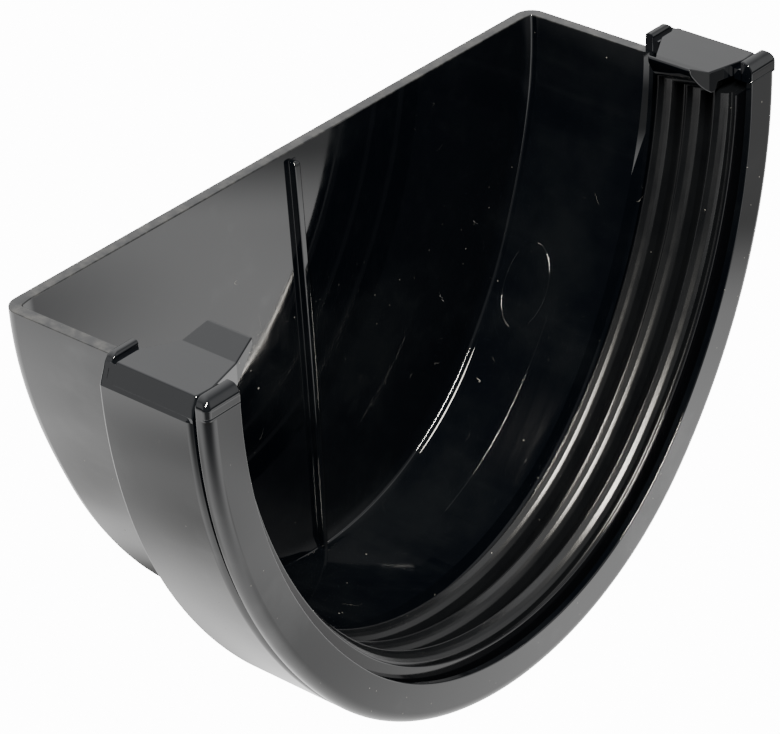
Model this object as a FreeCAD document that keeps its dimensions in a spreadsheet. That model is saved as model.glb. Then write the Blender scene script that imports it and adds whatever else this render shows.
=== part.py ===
import FreeCAD, Part
import math
import os
import Sketcher

# End cap for a deep U-shaped rain gutter: a moulded body and a rubber seal in its socket.
# Millimetres. X runs along the gutter and points out of the socket's mouth, Y runs across it and
# Z points up. The origin is in the plane of the mouth, midway between the two top edges.

# Driving dimensions.
SIZES = {
    # Section of the mouth: a round bottom with two tangent side arcs, upright at the top edge
    "mouth_half_width": 58.0,
    "mouth_depth": 72.0,
    "mouth_bottom_radius": 48.8,
    # Lengths along the gutter
    "cap_length": 45.0,
    "socket_length": 20.4,
    "lip_thickness": 1.4,
    "shoulder_wall": 1.8,
    # Socket and body walls
    "recess_depth": 4.6,
    "socket_wall": 2.0,
    "socket_edge_bevel": 0.5,
    "body_inset": 0.8,
    "body_wall": 2.0,
    "ledge_step": 0.6,
    "ledge_run": 0.6,
    # End plate, with the draft of its inner face in degrees, and its centre rib
    "plate_thickness": 2.0,
    "plate_draft": 1.15,
    "plate_corner_radius": 3.0,
    "rib_top_width": 2.0,
    "rib_foot_width": 1.5,
    "rib_height": 1.6,
    "rib_top_gap": 1.6,
    "rib_edge_radius": 0.5,
    # Groove between the socket band and the mouth rim
    "groove_setback": 2.3,
    "groove_width": 0.8,
    "groove_depth": 1.1,
    "groove_edge_bevel": 0.4,
    # Rounded nose on top of the rim
    "nose_length": 1.9,
    "nose_height": 1.6,
    # Clips over the socket's two top edges
    "clip_rise": 2.5,
    "clip_thickness": 1.8,
    "clip_round": 2.3,
    "clip_reach": 4.5,
    "clip_straight": 2.0,
    "fold_length": 9.8,
    "fold_setback": 5.2,
    "tab_reach": 4.1,
    "tab_rise": 2.2,
    "tab_thickness": 1.0,
    "tab_side_taper": 1.3,
    "hook_drop": 2.2,
    "hook_width": 1.2,
    "hook_setback": 0.2,
    "hook_back_slope": 0.6,
    "hook_ramp_radius": 15.0,
    "slot_width": 0.8,
    "upstand_thickness": 1.5,
    "upstand_rise": 3.1,
    "upstand_round": 2.4,
    # Rubber seal
    "seal_clearance": 0.1,
    "seal_top_gap": 2.0,
    "seal_valley": 1.5,
    "seal_lip_rise": 1.6,
    "seal_lip_run": 0.8,
    "seal_groove_radius": 2.0,
    "fin_setback": 5.7,
    "fin_pitch": 5.6,
    "front_fin_rise": 3.4,
    "front_fin_step": 1.4,
    "middle_fin_rise": 2.6,
    "back_fin_rise": 2.2,
    "fin_back_slope": 0.6,
    "fin_land": 1.1,
    "fin_land_fall": 0.15,
    "fin_shoulder_run": 1.6,
    "fin_shoulder_fall": 1.7,
    "fin_shoulder_radius": 2.3,
    "fin_foot_run": 0.9,
}

doc = FreeCAD.newDocument("gutter_end_cap")
sheet = doc.addObject("Spreadsheet::Sheet", "sizes")
for row, (alias, number) in enumerate(SIZES.items(), start=1):
    sheet.set(f"A{row}", alias)
    sheet.set(f"B{row}", str(number))
    sheet.setAlias(f"B{row}", alias)
doc.recompute()


class Size:
    """A length with its value now and the expression over the sheet that gives it."""

    def __init__(self, value, text):
        self.value = value
        self.text = text

    def __add__(self, other):
        return Size(self.value + other.value, f"({self.text} + {other.text})")

    def __sub__(self, other):
        return Size(self.value - other.value, f"({self.text} - {other.text})")

    def __neg__(self):
        return Size(-self.value, f"(-{self.text})")

    def __mul__(self, number):
        return Size(self.value * number, f"({self.text} * {number})")


ZERO = Size(0.0, "0")


def size(alias):
    return Size(float(sheet.get(alias)), f"sizes.{alias}")


# Sections that several features share, as half width, depth and bottom radius
MOUTH = (size("mouth_half_width"), size("mouth_depth"), size("mouth_bottom_radius"))
BODY = (MOUTH[0] - size("body_inset"), MOUTH[1], MOUTH[2])
SOCKET_OFFSET = size("recess_depth") + size("socket_wall")

# Places along X
PLATE_X = -size("cap_length")
SHOULDER_X = -size("socket_length")
RECESS_X = SHOULDER_X + size("shoulder_wall")
LEDGE_X = SHOULDER_X - size("ledge_run")
GROOVE_X = -size("groove_setback")
CLIP_FRONT_X = GROOVE_X - size("groove_width")
CLIP_BACK_X = SHOULDER_X + size("upstand_thickness") + size("slot_width")

# Heights of the clip
CLIP_TOP = size("clip_rise")
CLIP_UNDER = CLIP_TOP - size("clip_thickness")
# How far cutting outlines reach past what they cut
CUT_MARGIN = size("mouth_half_width") * 0.1


def offset_section(section, distance):
    """The same section, moved outwards everywhere by one distance."""
    return tuple(length + distance for length in section)


def origin_plane(body, role):
    return next(feature for feature in body.Origin.OriginFeatures if feature.Role == role)


def new_sketch(body, name, role, offset=ZERO, shift=ZERO):
    """Sketch on an origin plane of its body, moved along the plane's normal and its second axis."""
    sketch = body.newObject("Sketcher::SketchObject", name)
    sketch.AttachmentSupport = [(origin_plane(body, role), "")]
    sketch.MapMode = "FlatFace"
    sketch.setExpression(".AttachmentOffset.Base.z", offset.text)
    sketch.setExpression(".AttachmentOffset.Base.y", shift.text)
    return sketch


def drafted_sketch(body, name, offset):
    """Sketch across the gutter that leans with the draft, its foot nearer to the mouth."""
    sketch = new_sketch(body, name, "YZ_Plane", offset)
    lean = FreeCAD.Rotation(FreeCAD.Vector(-1, 0, 0), size("plate_draft").value)
    sketch.AttachmentOffset = FreeCAD.Placement(FreeCAD.Vector(0, 0, offset.value), lean)
    sketch.setExpression(".AttachmentOffset.Rotation.Angle", size("plate_draft").text)
    return sketch


def bind(sketch, length, kind, *where):
    """Add a dimension to a sketch and tie it to the sheet."""
    if length is ZERO:
        axis = -2 if kind == "DistanceX" else -1
        sketch.addConstraint(Sketcher.Constraint("PointOnObject", where[2], where[3], axis))
        return
    index = sketch.addConstraint(Sketcher.Constraint(kind, *where, length.value))
    name = f"size_{index}"
    sketch.renameConstraint(index, name)
    sketch.setExpression(f"Constraints.{name}", length.text)


def arc(centre, radius, start, end):
    circle = Part.Circle(FreeCAD.Vector(*centre, 0), FreeCAD.Vector(0, 0, 1), radius)
    return Part.ArcOfCircle(circle, start, end)


def line(start, end):
    return Part.LineSegment(FreeCAD.Vector(*start, 0), FreeCAD.Vector(*end, 0))


def bottom_curve(sketch, section):
    """Open curve from one top edge to the other: side arc, bottom arc, side arc, all tangent."""
    half_width, depth, radius = section
    a, b, r = (length.value for length in section)
    side_radius = (a * a + (b - r) ** 2 - r * r) / (2 * (a - r))
    half_angle = math.atan2(side_radius - a, b - r)
    low = 1.5 * math.pi
    left = sketch.addGeometry(arc((side_radius - a, 0), side_radius, math.pi, low - half_angle))
    bottom = sketch.addGeometry(arc((0, r - b), r, low - half_angle, low + half_angle))
    right = sketch.addGeometry(arc((a - side_radius, 0), side_radius, low + half_angle, 2 * math.pi))
    sketch.addConstraint(Sketcher.Constraint("Tangent", left, 2, bottom, 1))
    sketch.addConstraint(Sketcher.Constraint("Tangent", bottom, 2, right, 1))
    sketch.addConstraint(Sketcher.Constraint("PointOnObject", bottom, 3, -2))
    for geometry, end in ((left, 1), (right, 2)):
        sketch.addConstraint(Sketcher.Constraint("PointOnObject", geometry, 3, -1))
        sketch.addConstraint(Sketcher.Constraint("PointOnObject", geometry, end, -1))
    bind(sketch, half_width, "DistanceX", left, 1, -1, 1)
    bind(sketch, half_width, "DistanceX", -1, 1, right, 2)
    bind(sketch, depth - radius, "DistanceY", bottom, 3, -1, 1)
    bind(sketch, radius, "Radius", bottom)
    return left, right


def trough(sketch, section, top=ZERO, corner=None):
    """Closed U outline: the bottom curve, upright sides to the top height, and a flat or rounded top."""
    left, right = bottom_curve(sketch, section)
    a, height = section[0].value, top.value
    if top is ZERO:
        lid = sketch.addGeometry(line((a, 0), (-a, 0)))
        sketch.addConstraint(Sketcher.Constraint("Coincident", right, 2, lid, 1))
        sketch.addConstraint(Sketcher.Constraint("Coincident", lid, 2, left, 1))
        return
    c = corner.value if corner else 0.0
    rise = sketch.addGeometry(line((a, 0), (a, height - c)))
    lid = sketch.addGeometry(line((a - c, height), (c - a, height)))
    fall = sketch.addGeometry(line((-a, height - c), (-a, 0)))
    sketch.addConstraint(Sketcher.Constraint("Coincident", right, 2, rise, 1))
    sketch.addConstraint(Sketcher.Constraint("Coincident", fall, 2, left, 1))
    sketch.addConstraint(Sketcher.Constraint("Vertical", rise))
    sketch.addConstraint(Sketcher.Constraint("Vertical", fall))
    sketch.addConstraint(Sketcher.Constraint("Horizontal", lid))
    bind(sketch, top, "DistanceY", -1, 1, lid, 1)
    if not corner:
        sketch.addConstraint(Sketcher.Constraint("Coincident", rise, 2, lid, 1))
        sketch.addConstraint(Sketcher.Constraint("Coincident", lid, 2, fall, 1))
        return
    right_round = sketch.addGeometry(arc((a - c, height - c), c, 0, math.pi / 2))
    left_round = sketch.addGeometry(arc((c - a, height - c), c, math.pi / 2, math.pi))
    sketch.addConstraint(Sketcher.Constraint("Tangent", rise, 2, right_round, 1))
    sketch.addConstraint(Sketcher.Constraint("Tangent", right_round, 2, lid, 1))
    sketch.addConstraint(Sketcher.Constraint("Tangent", lid, 2, left_round, 1))
    sketch.addConstraint(Sketcher.Constraint("Tangent", left_round, 2, fall, 1))
    bind(sketch, corner, "Radius", right_round)
    bind(sketch, corner, "Radius", left_round)


def outline(sketch, points, rounds=None):
    """Closed outline through points, counter-clockwise.

    rounds gives the sides that are arcs: side number to radius and turn, +1 for an arc that bulges
    outwards and -1 for one that bulges inwards. Side 0 runs from point 0 to point 1.
    """
    rounds = rounds or {}
    spots = [(x.value, y.value) for x, y in points]
    sides = []
    for number, start in enumerate(spots):
        end = spots[(number + 1) % len(spots)]
        if number not in rounds:
            sides.append((sketch.addGeometry(line(start, end)), 1, 2))
            continue
        radius, turn = rounds[number]
        run = (end[0] - start[0], end[1] - start[1])
        chord = math.hypot(*run)
        reach = turn * math.sqrt(radius.value ** 2 - chord ** 2 / 4) / chord
        centre = (start[0] + run[0] / 2 - run[1] * reach, start[1] + run[1] / 2 + run[0] * reach)
        angles = [math.atan2(y - centre[1], x - centre[0]) for x, y in (start, end)]
        geometry = sketch.addGeometry(arc(centre, radius.value, *angles[::turn]))
        bind(sketch, radius, "Radius", geometry)
        sides.append((geometry, 1, 2) if turn > 0 else (geometry, 2, 1))
    for number, (geometry, start, _) in enumerate(sides):
        previous, _, end = sides[number - 1]
        sketch.addConstraint(Sketcher.Constraint("Coincident", previous, end, geometry, start))
        bind(sketch, points[number][0], "DistanceX", -1, 1, geometry, start)
        bind(sketch, points[number][1], "DistanceY", -1, 1, geometry, start)


def extrude(body, kind, sketch, name, length, reverse=False, both_ways=False):
    """Pad or Pocket of a sketch; a Pocket cuts against the sketch's normal unless reversed."""
    feature = body.newObject(f"PartDesign::{kind}", name)
    feature.Profile = sketch
    feature.setExpression("Length", length.text)
    feature.Reversed = reverse
    feature.Midplane = both_ways
    doc.recompute()
    return feature


def dress_edges(body, kind, name, amount, wanted):
    """Fillet or Chamfer on the edges of the body's last feature that the test accepts."""
    base = body.Tip
    edges = [f"Edge{number}" for number, edge in enumerate(base.Shape.Edges, start=1) if wanted(edge)]
    feature = body.newObject(f"PartDesign::{kind}", name)
    feature.Base = (base, edges)
    feature.setExpression("Radius" if kind == "Fillet" else "Size", amount.text)
    doc.recompute()


def lies_at_x(edge, x):
    box = edge.BoundBox
    return abs(box.XMin - x.value) < 1e-6 and abs(box.XMax - x.value) < 1e-6


def socket_and_trough(body):
    """The outer forms of the socket, its shoulder and the trough, then their hollows."""
    outer = offset_section(MOUTH, SOCKET_OFFSET)
    sketch = new_sketch(body, "shoulder_outline", "YZ_Plane", SHOULDER_X)
    trough(sketch, outer, size("upstand_rise"), size("upstand_round"))
    extrude(body, "Pad", sketch, "shoulder_form", size("upstand_thickness"))

    start = SHOULDER_X + size("upstand_thickness")
    sketch = new_sketch(body, "socket_outline", "YZ_Plane", start)
    trough(sketch, outer, CLIP_TOP, size("clip_round"))
    extrude(body, "Pad", sketch, "socket_form", -start)
    dress_edges(body, "Chamfer", "socket_edges", size("socket_edge_bevel"),
                lambda edge: lies_at_x(edge, ZERO) or lies_at_x(edge, SHOULDER_X))

    sketch = new_sketch(body, "body_outline", "YZ_Plane", PLATE_X)
    trough(sketch, offset_section(BODY, size("body_wall")))
    extrude(body, "Pad", sketch, "body_form", SHOULDER_X - PLATE_X)
    dress_edges(body, "Fillet", "plate_corner", size("plate_corner_radius"),
                lambda edge: lies_at_x(edge, PLATE_X) and edge.BoundBox.ZMin < -CUT_MARGIN.value)

    sketch = new_sketch(body, "mouth_outline", "YZ_Plane")
    trough(sketch, MOUTH, CLIP_TOP + CUT_MARGIN)
    extrude(body, "Pocket", sketch, "mouth_opening", -RECESS_X)

    sketch = new_sketch(body, "recess_outline", "YZ_Plane", -size("lip_thickness"))
    trough(sketch, offset_section(MOUTH, size("recess_depth")), CLIP_UNDER)
    extrude(body, "Pocket", sketch, "seal_recess", -size("lip_thickness") - RECESS_X)

    sketch = new_sketch(body, "ledge_outline", "YZ_Plane", RECESS_X)
    trough(sketch, offset_section(BODY, size("ledge_step")), CLIP_TOP + CUT_MARGIN)
    extrude(body, "Pocket", sketch, "gutter_stop", RECESS_X - LEDGE_X)

    far = drafted_sketch(body, "cavity_at_plate", PLATE_X + size("plate_thickness"))
    trough(far, BODY, CUT_MARGIN)
    near = new_sketch(body, "cavity_at_ledge", "YZ_Plane", LEDGE_X)
    trough(near, BODY, CUT_MARGIN)
    doc.recompute()
    cavity = body.newObject("PartDesign::SubtractiveLoft", "cavity")
    cavity.Profile = far
    cavity.Sections = [near]
    cavity.Ruled = True
    doc.recompute()


def is_rib_front(edge):
    """Whether an edge lies in the rib's front face, which rises from the drafted plate."""
    lean = math.radians(size("plate_draft").value)
    foot = (PLATE_X + size("plate_thickness")).value
    heights = [(v.X - foot) * math.cos(lean) + v.Z * math.sin(lean) for v in edge.Vertexes]
    return all(abs(height - size("rib_height").value) < 1e-2 for height in heights)


def centre_rib(body):
    """Upright rib on the plate's inner face, a little narrower at its foot, with rounded edges."""
    root = size("plate_thickness") * 0.5
    sketch = drafted_sketch(body, "rib_outline", PLATE_X + size("plate_thickness") - root)
    top, foot = size("rib_top_width") * 0.5, size("rib_foot_width") * 0.5
    floor = -BODY[1] - size("body_wall") * 0.5
    outline(sketch, [(-foot, floor), (foot, floor), (top, -size("rib_top_gap")), (-top, -size("rib_top_gap"))])
    extrude(body, "Pad", sketch, "plate_rib", size("rib_height") + root)
    dress_edges(body, "Fillet", "rib_edges", size("rib_edge_radius"),
                lambda edge: is_rib_front(edge) and edge.BoundBox.ZMax > floor.value * 0.5)


def rim_details(body):
    """The groove behind the rim with its rounded edges, and the rim's rounded nose."""
    sketch = new_sketch(body, "groove_outline", "YZ_Plane", GROOVE_X)
    trough(sketch, offset_section(MOUTH, SOCKET_OFFSET + CUT_MARGIN), CLIP_TOP + CUT_MARGIN)
    depth = size("groove_depth")
    trough(sketch, offset_section(MOUTH, SOCKET_OFFSET - depth), CLIP_TOP - depth, size("clip_round") - depth)
    extrude(body, "Pocket", sketch, "rim_groove", size("groove_width"))
    lowest = -(MOUTH[1] + SOCKET_OFFSET).value
    dress_edges(body, "Chamfer", "groove_edges", size("groove_edge_bevel"),
                lambda edge: (lies_at_x(edge, GROOVE_X) or lies_at_x(edge, CLIP_FRONT_X))
                and edge.BoundBox.ZMin < lowest + 1e-6)

    length, height = size("nose_length"), size("nose_height")
    radius = Size((length.value ** 2 + height.value ** 2) / (2 * height.value),
                  f"(({length.text}^2 + {height.text}^2) / (2 * {height.text}))")
    sketch = new_sketch(body, "nose_outline", "XZ_Plane")
    outline(sketch, [(ZERO, CLIP_TOP - height), (CUT_MARGIN, CLIP_TOP - height),
                     (CUT_MARGIN, CLIP_TOP + CUT_MARGIN), (-length, CLIP_TOP + CUT_MARGIN),
                     (-length, CLIP_TOP)], {4: (radius, -1)})
    width = (MOUTH[0] + SOCKET_OFFSET + CUT_MARGIN) * 2.0
    extrude(body, "Pocket", sketch, "rim_nose", width, both_ways=True)


def clips(body):
    """One clip with its slot, strap, thumb tab and hook, and the same on the other side."""
    inner = MOUTH[0]
    root = inner + size("recess_depth")
    fold = inner - size("clip_reach")
    tip = fold - size("tab_reach")
    fold_front = -size("fold_setback")
    fold_back = fold_front - size("fold_length")
    above = CLIP_TOP + CUT_MARGIN

    sketch = new_sketch(body, "slot_outline", "YZ_Plane", CLIP_BACK_X)
    outline(sketch, [(-root, CLIP_UNDER), (-fold, CLIP_UNDER), (-fold, above), (-root, above)])
    slot = extrude(body, "Pocket", sketch, "clip_slot", size("slot_width"))

    sketch = new_sketch(body, "strap_outline", "XY_Plane", CLIP_UNDER)
    hinge = inner + size("clip_straight")
    outline(sketch, [(CLIP_BACK_X, -hinge), (CLIP_FRONT_X, -hinge), (fold_front, -fold), (fold_back, -fold),
                     (CLIP_BACK_X, -inner)])
    strap = extrude(body, "Pad", sketch, "clip_strap", size("clip_thickness"))

    hook_low = CLIP_UNDER - size("hook_drop")
    hook_back = fold + size("hook_setback") + size("hook_width")
    tab_top = CLIP_TOP + size("tab_rise")
    sketch = new_sketch(body, "tab_outline", "YZ_Plane", fold_back)
    outline(sketch, [(-hook_back - size("hook_back_slope"), CLIP_UNDER), (-hook_back, hook_low),
                     (-fold - size("hook_setback"), hook_low), (-tip, tab_top - size("tab_thickness")),
                     (-tip, tab_top), (-fold, CLIP_TOP), (-hook_back - size("hook_back_slope"), CLIP_TOP)],
            {2: (size("hook_ramp_radius"), 1)})
    tab = extrude(body, "Pad", sketch, "tab_and_hook", size("fold_length"))

    sketch = new_sketch(body, "taper_outline", "XY_Plane", tab_top)
    taper = size("tab_side_taper")
    outline(sketch, [(fold_front, -fold), (fold_front, -tip), (fold_front - taper, -tip)])
    outline(sketch, [(fold_back, -fold), (fold_back + taper, -tip), (fold_back, -tip)])
    sides = extrude(body, "Pocket", sketch, "tab_taper", tab_top - hook_low)

    other = body.newObject("PartDesign::Mirrored", "other_clip")
    other.Originals = [slot, strap, tab, sides]
    other.MirrorPlane = (origin_plane(body, "XZ_Plane"), [""])
    body.Tip = other
    doc.recompute()


def seal_profile(sketch):
    """Cross-section of the seal: a base, a lip at the mouth and three fins that face the gutter."""
    gap = size("seal_clearance")
    front = -size("lip_thickness") - gap
    back = RECESS_X + gap
    base = gap - size("recess_depth")
    valley = -size("seal_valley")
    crest_x = -size("fin_setback")
    crest = size("front_fin_rise")
    points = [(back, base), (front, base), (front, ZERO),
              (front - size("seal_lip_run"), size("seal_lip_rise")),
              (crest_x, crest - size("front_fin_step")), (crest_x, crest),
              (crest_x - size("fin_back_slope"), valley)]
    rounds = {3: (size("seal_groove_radius"), -1)}
    for rise in (size("middle_fin_rise"), size("back_fin_rise")):
        crest_x = crest_x - size("fin_pitch")
        land = (crest_x + size("fin_land"), rise - size("fin_land_fall"))
        shoulder = (land[0] + size("fin_shoulder_run"), land[1] - size("fin_shoulder_fall"))
        rounds[len(points) + 1] = (size("fin_shoulder_radius"), 1)
        points += [(shoulder[0] + size("fin_foot_run"), valley), shoulder, land, (crest_x, rise),
                   (crest_x - size("fin_back_slope"), valley)]
    points.append((back, valley))
    outline(sketch, points, rounds)


def seal(body):
    """The seal's cross-section along the socket, cut level below the clips."""
    path = new_sketch(body, "seal_path", "YZ_Plane")
    bottom_curve(path, MOUTH)
    profile = new_sketch(body, "seal_section", "XY_Plane", shift=-MOUTH[0])
    seal_profile(profile)
    doc.recompute()
    strip = body.newObject("PartDesign::AdditivePipe", "seal_strip")
    strip.Profile = profile
    strip.Spine = (path, ["Edge1", "Edge2", "Edge3"])
    doc.recompute()

    sketch = new_sketch(body, "seal_ends", "XY_Plane", -size("seal_top_gap"))
    side = MOUTH[0] + SOCKET_OFFSET
    outline(sketch, [(SHOULDER_X, -side), (ZERO, -side), (ZERO, side), (SHOULDER_X, side)])
    extrude(body, "Pocket", sketch, "seal_end_cut", size("seal_top_gap") + CUT_MARGIN, reverse=True)


cap = doc.addObject("PartDesign::Body", "end_cap_body")
cap.Label = "end_cap_body"
socket_and_trough(cap)
centre_rib(cap)
rim_details(cap)
clips(cap)

strip = doc.addObject("PartDesign::Body", "socket_seal")
strip.Label = "socket_seal"
seal(strip)
doc.recompute()

failed = [item.Name for item in doc.Objects if {"Invalid", "Error"} & set(item.State)]
if failed:
    raise RuntimeError(f"features that failed: {failed}")
os.makedirs("parts", exist_ok=True)
for piece in (cap, strip):
    if piece.Shape.isNull() or not piece.Shape.isValid() or len(piece.Shape.Solids) != 1:
        raise RuntimeError(f"{piece.Label} isn't one valid solid")
    piece.Shape.exportStep(f"parts/{piece.Label}.step")
    print(piece.Label, round(piece.Shape.Volume, 1))
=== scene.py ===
import math

import bmesh
import bpy
import numpy as np
from mathutils import Matrix, Vector


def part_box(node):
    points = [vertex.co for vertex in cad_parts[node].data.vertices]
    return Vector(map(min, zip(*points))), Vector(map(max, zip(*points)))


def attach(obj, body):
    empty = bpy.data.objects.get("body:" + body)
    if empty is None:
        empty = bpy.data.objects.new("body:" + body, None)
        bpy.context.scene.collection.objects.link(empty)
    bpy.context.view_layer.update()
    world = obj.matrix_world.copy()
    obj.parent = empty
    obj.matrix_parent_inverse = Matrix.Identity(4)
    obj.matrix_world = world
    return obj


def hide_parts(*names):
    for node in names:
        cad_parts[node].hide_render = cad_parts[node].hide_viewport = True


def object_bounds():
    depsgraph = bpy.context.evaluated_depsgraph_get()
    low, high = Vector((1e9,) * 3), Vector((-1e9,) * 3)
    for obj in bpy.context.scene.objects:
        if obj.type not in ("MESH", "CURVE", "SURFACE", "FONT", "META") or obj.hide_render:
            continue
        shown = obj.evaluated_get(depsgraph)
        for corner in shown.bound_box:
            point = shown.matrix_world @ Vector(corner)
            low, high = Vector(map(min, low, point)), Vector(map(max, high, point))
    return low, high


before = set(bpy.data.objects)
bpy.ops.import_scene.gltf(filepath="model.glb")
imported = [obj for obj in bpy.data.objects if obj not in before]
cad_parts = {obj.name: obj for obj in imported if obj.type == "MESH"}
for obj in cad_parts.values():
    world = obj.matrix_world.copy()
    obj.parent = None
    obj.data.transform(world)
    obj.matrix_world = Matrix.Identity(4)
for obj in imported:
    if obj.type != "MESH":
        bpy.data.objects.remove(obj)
cad_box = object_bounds()

# Sizes are in millimetres and become metres when a mesh is made.
MM = 0.001
CAP_LOW, CAP_HIGH = (np.array(corner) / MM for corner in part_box("end_cap_body"))
SEAL_LOW, SEAL_HIGH = (np.array(corner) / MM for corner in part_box("socket_seal"))

# Section of the mouth, how far the socket's walls stand outside it, and how far the trough lies inside it
RECESS_DEPTH = 4.6
SOCKET_OFFSET = 6.6
MOUTH_HALF_WIDTH = CAP_HIGH[1] - SOCKET_OFFSET
MOUTH_DEPTH = -CAP_LOW[2] - SOCKET_OFFSET
MOUTH_RADIUS = 48.8
BODY_INSET = 0.8
BODY_WALL = 2.0
TROUGH_IN = 1.4
TROUGH_EASE = 0.35

# Places along the gutter, from the mouth backwards
PLATE_X = CAP_LOW[0]
PLATE_THICKNESS = 2.0
PLATE_DRAFT = math.tan(math.radians(1.15))
PLATE_INNER_START = -3.2
PLATE_OUTER_END = -2.5
BOW_END_X = -22.6
SHOULDER_X = -20.4
RECESS_X = -18.6
FLARE_X = -20.2
FLARE_RUN = 0.8
FLARE_STEP = 0.36
LEDGE_STEP = 0.34
LIP_X = -1.4
LIP_UNDERCUT = 0.25
GROOVE_FRONT_X = -2.3
GROOVE_BACK_X = -3.1
GROOVE_DEPTH = 1.3

# Edge radii of the moulding
PLATE_CORNER_R = 3.0
PLATE_ROOT_R = 0.45
FOOT_ROLL = 1.9
FOOT_ROLL_R = 8.0
FOOT_SLOPE = 0.2
RIM_CORNER_R = 1.8
BEAD_R = 1.1
GROOVE_EDGE_R = 0.25
SHOULDER_R = 0.5
FINE_R = 0.18
SHARP_R = 0.001
TOP_EDGE_R = 0.14

# Clip heights and plan, measured from the top edge and from the middle of the gutter
CLIP_TOP = 2.5
CLIP_UNDER = 0.3
ROOT_LOW = -3.0
ROOT_STEP = 0.005
ROOT_CLEAR = 0.4
BEAD_EASE = 0.2
FACET_LOW = -1.2
FACET_WIDTH = 1.5
FACET_SOFT = 0.25
FACET_LAP = -0.5
FACET_PROUD = 0.004
RIM_END_TOP = 3.3
RIM_END_ROUND = 1.9
RIM_END_INNER_R = 0.4
CLIP_BACK_X = -18.1
FOLD_Y = 53.5
FOLD_FRONT_X = -4.8
FOLD_BACK_X = -15.0
TAB_TIP_Y = 49.4
TAB_TOP = CAP_HIGH[2] - 0.15
TAB_THICKNESS = 1.0
TAB_BACK_TAPER = 1.5
TAB_FRONT_TAPER = 0.6
HOOK_LOW = -1.2
HOOK_BACK_Y = 54.6
HOOK_FRONT_Y = 53.9
HOOK_ROOT_Y = 55.1
HOOK_HOLLOW = 0.45
STRAP_EDGE_R = 0.22
STRAP_FRONT_R = 0.4
TIP_NARROWING = 0.4
UPSTAND_FRONT_X = -18.9
UPSTAND_TOP = 3.1
UPSTAND_ROUND = 2.4
UPSTAND_EDGE_R = 0.6
UPSTAND_OUTER_R = 1.7
UPSTAND_INNER_R = 0.15
UPSTAND_INNER_Y = MOUTH_HALF_WIDTH - BODY_INSET + 0.6
NOSE_LENGTH = 1.9
NOSE_HEIGHT = 1.9
CREASE_Z = 0.35
CREASE_DEPTH = 0.14
CREASE_WIDTH = 0.06
CREASE_REACH = 0.1
TIP_R = 0.45
SLOT_FLOOR = CLIP_TOP - 0.4
SLOT_INNER_Y = UPSTAND_INNER_Y + 0.1
GROOVE_FLOOR = CLIP_TOP - 0.7
FLOOR_LAP = 0.3

# Rib on the end plate
RIB_TOP_Z = -1.6
RIB_HEIGHT = 1.2
RIB_TOP_WIDTH = 1.3
RIB_FOOT_WIDTH = 1.0
RIB_EDGE_R = 0.2
RIB_END_R = 0.6
RIB_END_LENGTH = 0.8
ROOT_BEAD = 0.12

# Marks of the mould on the far wall
LINE_R = 0.075
LINE_SUNK = 0.3
PARTING_X = -29.2
PARTING_FOOT_X = -22.5
PARTING_ANGLES = 20, 58
PIN_X = -35.0
PIN_R = 4.2
PIN_ANGLE = math.radians(60.3)

# Seal
SEAL_CLEARANCE = 0.1
SEAL_EDGE_R = 0.1
BORDER_SETBACK = 0.55
BORDER_BASE = 2.1
# Corners of the border: step behind its face, off, radius and crest
BORDER = ((0.0, 1.9, SEAL_EDGE_R, 0), (0.0, -2.1, 0.25, 1), (0.45, -1.9, 0.25, 0), (0.75, -1.0, 0.2, 0))
VALLEY = 1.5
VALLEY_R = 0.2
FRONT_FIN_X, FRONT_FIN_RISE = -5.7, 3.4
# Each sharp fin: place and rise of its crest
SHARP_FINS = ((-11.3, 3.0), (-16.9, 2.85))
# Corners of a fin: step in front of its crest, drop below it and radius
FRONT_FIN_CORNERS = ((2.45, 2.3, 0.2), (2.2, 1.4, 0.5), (1.8, 0.87, 0.8), (1.1, 0.48, 0.6), (0.08, 0.34, 0.1),
                     (0.0, 0.0, 0.1))
SHARP_FIN_CORNERS = ((2.6, 2.9, 0.8), (2.1, 1.7, 1.0), (1.6, 1.1, 1.0), (1.1, 0.8, 0.6), (0.1, 0.6, 0.12),
                     (0.0, 0.0, 0.13))
FIN_FOOT = 2.9
FIN_FOOT_R = 0.5
FIN_BACK = 0.6
END_FADE = 0.42
FADE_START = 0.55

# Mesh resolution, in steps and shares, and the smallest lengths that count; the merging lengths are in metres
PATH_STEPS = 241
ARC_STEPS = 9
EDGE_STEPS = 5
LINE_STEPS = 15
ARC_ROOM = 0.96
GAP_SHARE = 0.4
CORNER_SHARE = 0.4
SUPPORT_GAP = 0.05
BOTTOM_SHARE = 0.4
HAIR = 0.01
TINY = 1e-9
LEAST_ROOM = 1e-4
MERGE_DISTANCE = 1e-7
FLAT_EDGE = 1e-8
# Length that t measures from a top edge down the band's side, and depths that get vertices of their own there
SIDE_LENGTH = 112.3
TOP_DEPTHS = (0.5, 0.9, -FACET_LOW, 1.6)
# Shares of the half width that t measures at the trough's top edge and at the seal's end
TOP_EDGE_SHARE = 0.95
SEAL_END_SHARE = 1.02
SHARP_ANGLE = math.radians(21)


# Shapes as arrays

def trough_in(x, edge):
    """How far the trough is drawn in from the mouth's line: all of it behind an edge, nothing in front."""
    return TROUGH_IN * (np.asarray(x, float) < edge + TINY)


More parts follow.
